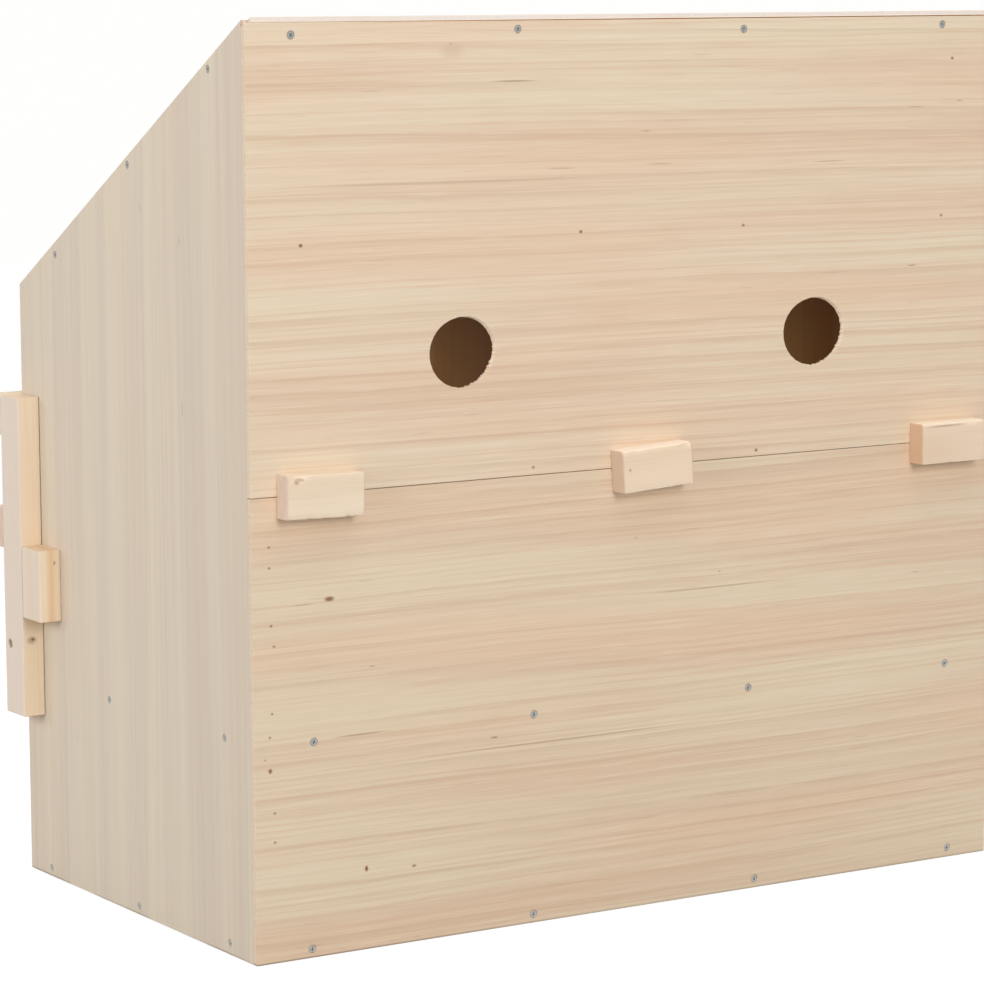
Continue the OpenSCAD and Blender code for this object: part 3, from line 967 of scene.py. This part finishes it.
# The arms' side faces are tinted a paler grey, painted light from the cool lamp at the side.
arm_look = dict(tones=arm_tones, pith=(0.05, 0.01), rings_show=0.5, warmth=0.5, end_tint=0.15, painted_light=0.75,
                knots=[(-61.0, 0.2, 2.0, 2.6, 0.85), (-61.5, 1.2, 3.8, 5.0, 0.45)])
for number, (side, sign) in enumerate(hands):
    face_place = frame_of(Vector((sign * arm_high.x, 0, 0)), Z, -sign * Y)
    outline = [(z, -sign * y) for y, z in rectangle(arm_low.y, arm_low.z, arm_high.y, arm_high.z)]
    bm = drilled_sheet(face_place, outline, arm_thick,
                       vents=[(pivot_z, -sign * pivot_y, pivot_hole, pivot_hole, pivot_fray)])
    ease(bm, arm_ease, sharpest=60)
    place = frame_of(Vector((sign * arm_middle.x, arm_middle.y, arm_middle.z)), Z, X)
    finish = pine("pine_arm_" + side, place, arm_size, 70 + number, **arm_look)
    make_piece(side + "_arm", bm, finish, body="perch", nodes=[side + "_perch_arm"])

# %% Rails
rail_ease, rail_end = 1.2 * MM, srgb(220, 192, 178)
for number, (which, end_tint) in enumerate((("upper", 0.2), ("lower", 0.8))):
    low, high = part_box(which + "_perch_rail")
    bm = block(low, high)
    ease(bm, rail_ease, segments=3)
    place = frame_of((low + high) / 2, X, Z)
    finish = pine("pine_rail_" + which, place, sides(low, high, "xzy"), 80 + number, end=rail_end, end_tint=end_tint)
    make_piece(which + "_rail", bm, finish, body="perch", nodes=[which + "_perch_rail"])

# %% [markdown]
# ## Screws
#
# A small countersunk head with a cross recess: the rim of the head and the outline of the cross are filled, and the
# cross is drawn down into the head. One head is built in its own frame and copied to every hole, each turned by a
# chance angle, because nobody lines up the crosses of their screws.

# %% Cross-recess heads
head_radius, head_sink, head_depth, head_taper = 2.62 * MM, 0.3 * MM, 2.2 * MM, 0.72
cross_half, cross_arm, cross_depth, cross_taper = 0.45 * MM, 1.5 * MM, 0.9 * MM, 0.55


def screw_head(bm, place):
    """Adds one head whose top lies a little below w = 0 of its frame."""
    part = bmesh.new()
    bmesh.ops.create_circle(part, segments=round_steps, radius=head_radius)
    h, a = cross_half, cross_arm
    plus = [(h, -a), (h, -h), (a, -h), (a, h), (h, h), (h, a),
            (-h, a), (-h, h), (-a, h), (-a, -h), (-h, -h), (-h, -a)]
    verts = [part.verts.new((x, y, 0)) for x, y in plus]
    cross = [part.edges.new(pair) for pair in zip(verts, verts[1:] + verts[:1])]
    bmesh.ops.triangle_fill(part, use_beauty=True, edges=part.edges[:], normal=Z)
    rim = [e for e in part.edges if len(e.link_faces) == 1 and e not in cross]
    for edges, drop, shrink in ((cross, cross_depth, cross_taper), (rim, head_depth, head_taper)):
        made = bmesh.ops.extrude_edge_only(part, edges=edges)["geom"]
        new = [g for g in made if isinstance(g, bmesh.types.BMVert)]
        bmesh.ops.translate(part, vec=(0, 0, -drop), verts=new)
        bmesh.ops.scale(part, vec=(shrink, shrink, 1), verts=new)
        bmesh.ops.contextual_create(part, geom=[g for g in made if isinstance(g, bmesh.types.BMEdge)
                                                and all(vert in new for vert in g.verts)])
    bmesh.ops.recalc_face_normals(part, faces=part.faces[:])
    bmesh.ops.transform(part, matrix=place @ Matrix.Translation((0, 0, -head_sink)), verts=part.verts[:])
    mesh = bpy.data.meshes.new("head")
    part.to_mesh(mesh)
    part.free()
    bm.from_mesh(mesh)
    bpy.data.meshes.remove(mesh)


print("heads", round(2 * head_radius / MM, 2), "mm wide")

# %% Rows of screws
turns, quarter_turn = random.Random(5), 1.57


def screw_set(name, place, spots, scale=1.0):
    bm = bmesh.new()
    for u, v in spots:
        turn = Matrix.Rotation(turns.uniform(0, quarter_turn), 4, "Z") @ Matrix.Scale(scale, 4)
        screw_head(bm, place @ Matrix.Translation((u, v, 0)) @ turn)
    make_piece(name, bm, zinc_bright)


screw_set("rear_screws", rear_place, in_metres(top_row + floor_row + foot_row))
for side, sign in hands:
    screw_set(side + "_wall_screws", wall_place(sign), wall_spots(sign), wall_screw_scale)
screw_set("roof_screws", roof_place, roof_screws)
screw_set("front_screws", panel_place, panel_screws)

# %% [markdown]
# A pivot screw is larger and sits deep in its arm, where it shows as a dark spot. Its head is the same shape, only
# bigger. The shank is a turned part, so its profile is spun about the axis.

# %% Pivot screws
shank_radius, shank_steps = 2.5 * MM, 32
pivot_sink, pivot_neck = 2.5 * MM, 2.0 * MM
pivot_head_scale = Matrix.Diagonal((1.25, 1.25, 1.1, 1))
head_x = arm_high.x - pivot_sink
shank_end = head_x - pivot_neck
for side, sign in hands:
    bm = bmesh.new()
    profile = [(screw_low.x, 0.0), (screw_low.x, shank_radius), (shank_end, shank_radius), (shank_end, 0.0)]
    verts = [bm.verts.new((sign * x, pivot_y + r, pivot_z)) for x, r in profile]
    edges = [bm.edges.new(pair) for pair in zip(verts, verts[1:])]
    bmesh.ops.spin(bm, geom=verts + edges, axis=X, cent=(0, pivot_y, pivot_z), angle=math.tau, steps=shank_steps,
                   use_merge=True)
    bmesh.ops.remove_doubles(bm, verts=bm.verts[:], dist=1e-6)
    deep = frame_of(Vector((sign * head_x, pivot_y, pivot_z)), Z, -sign * Y)
    screw_head(bm, deep @ pivot_head_scale)
    make_piece(side + "_pivot", bm, zinc_bright, nodes=[side + "_pivot_screw"])
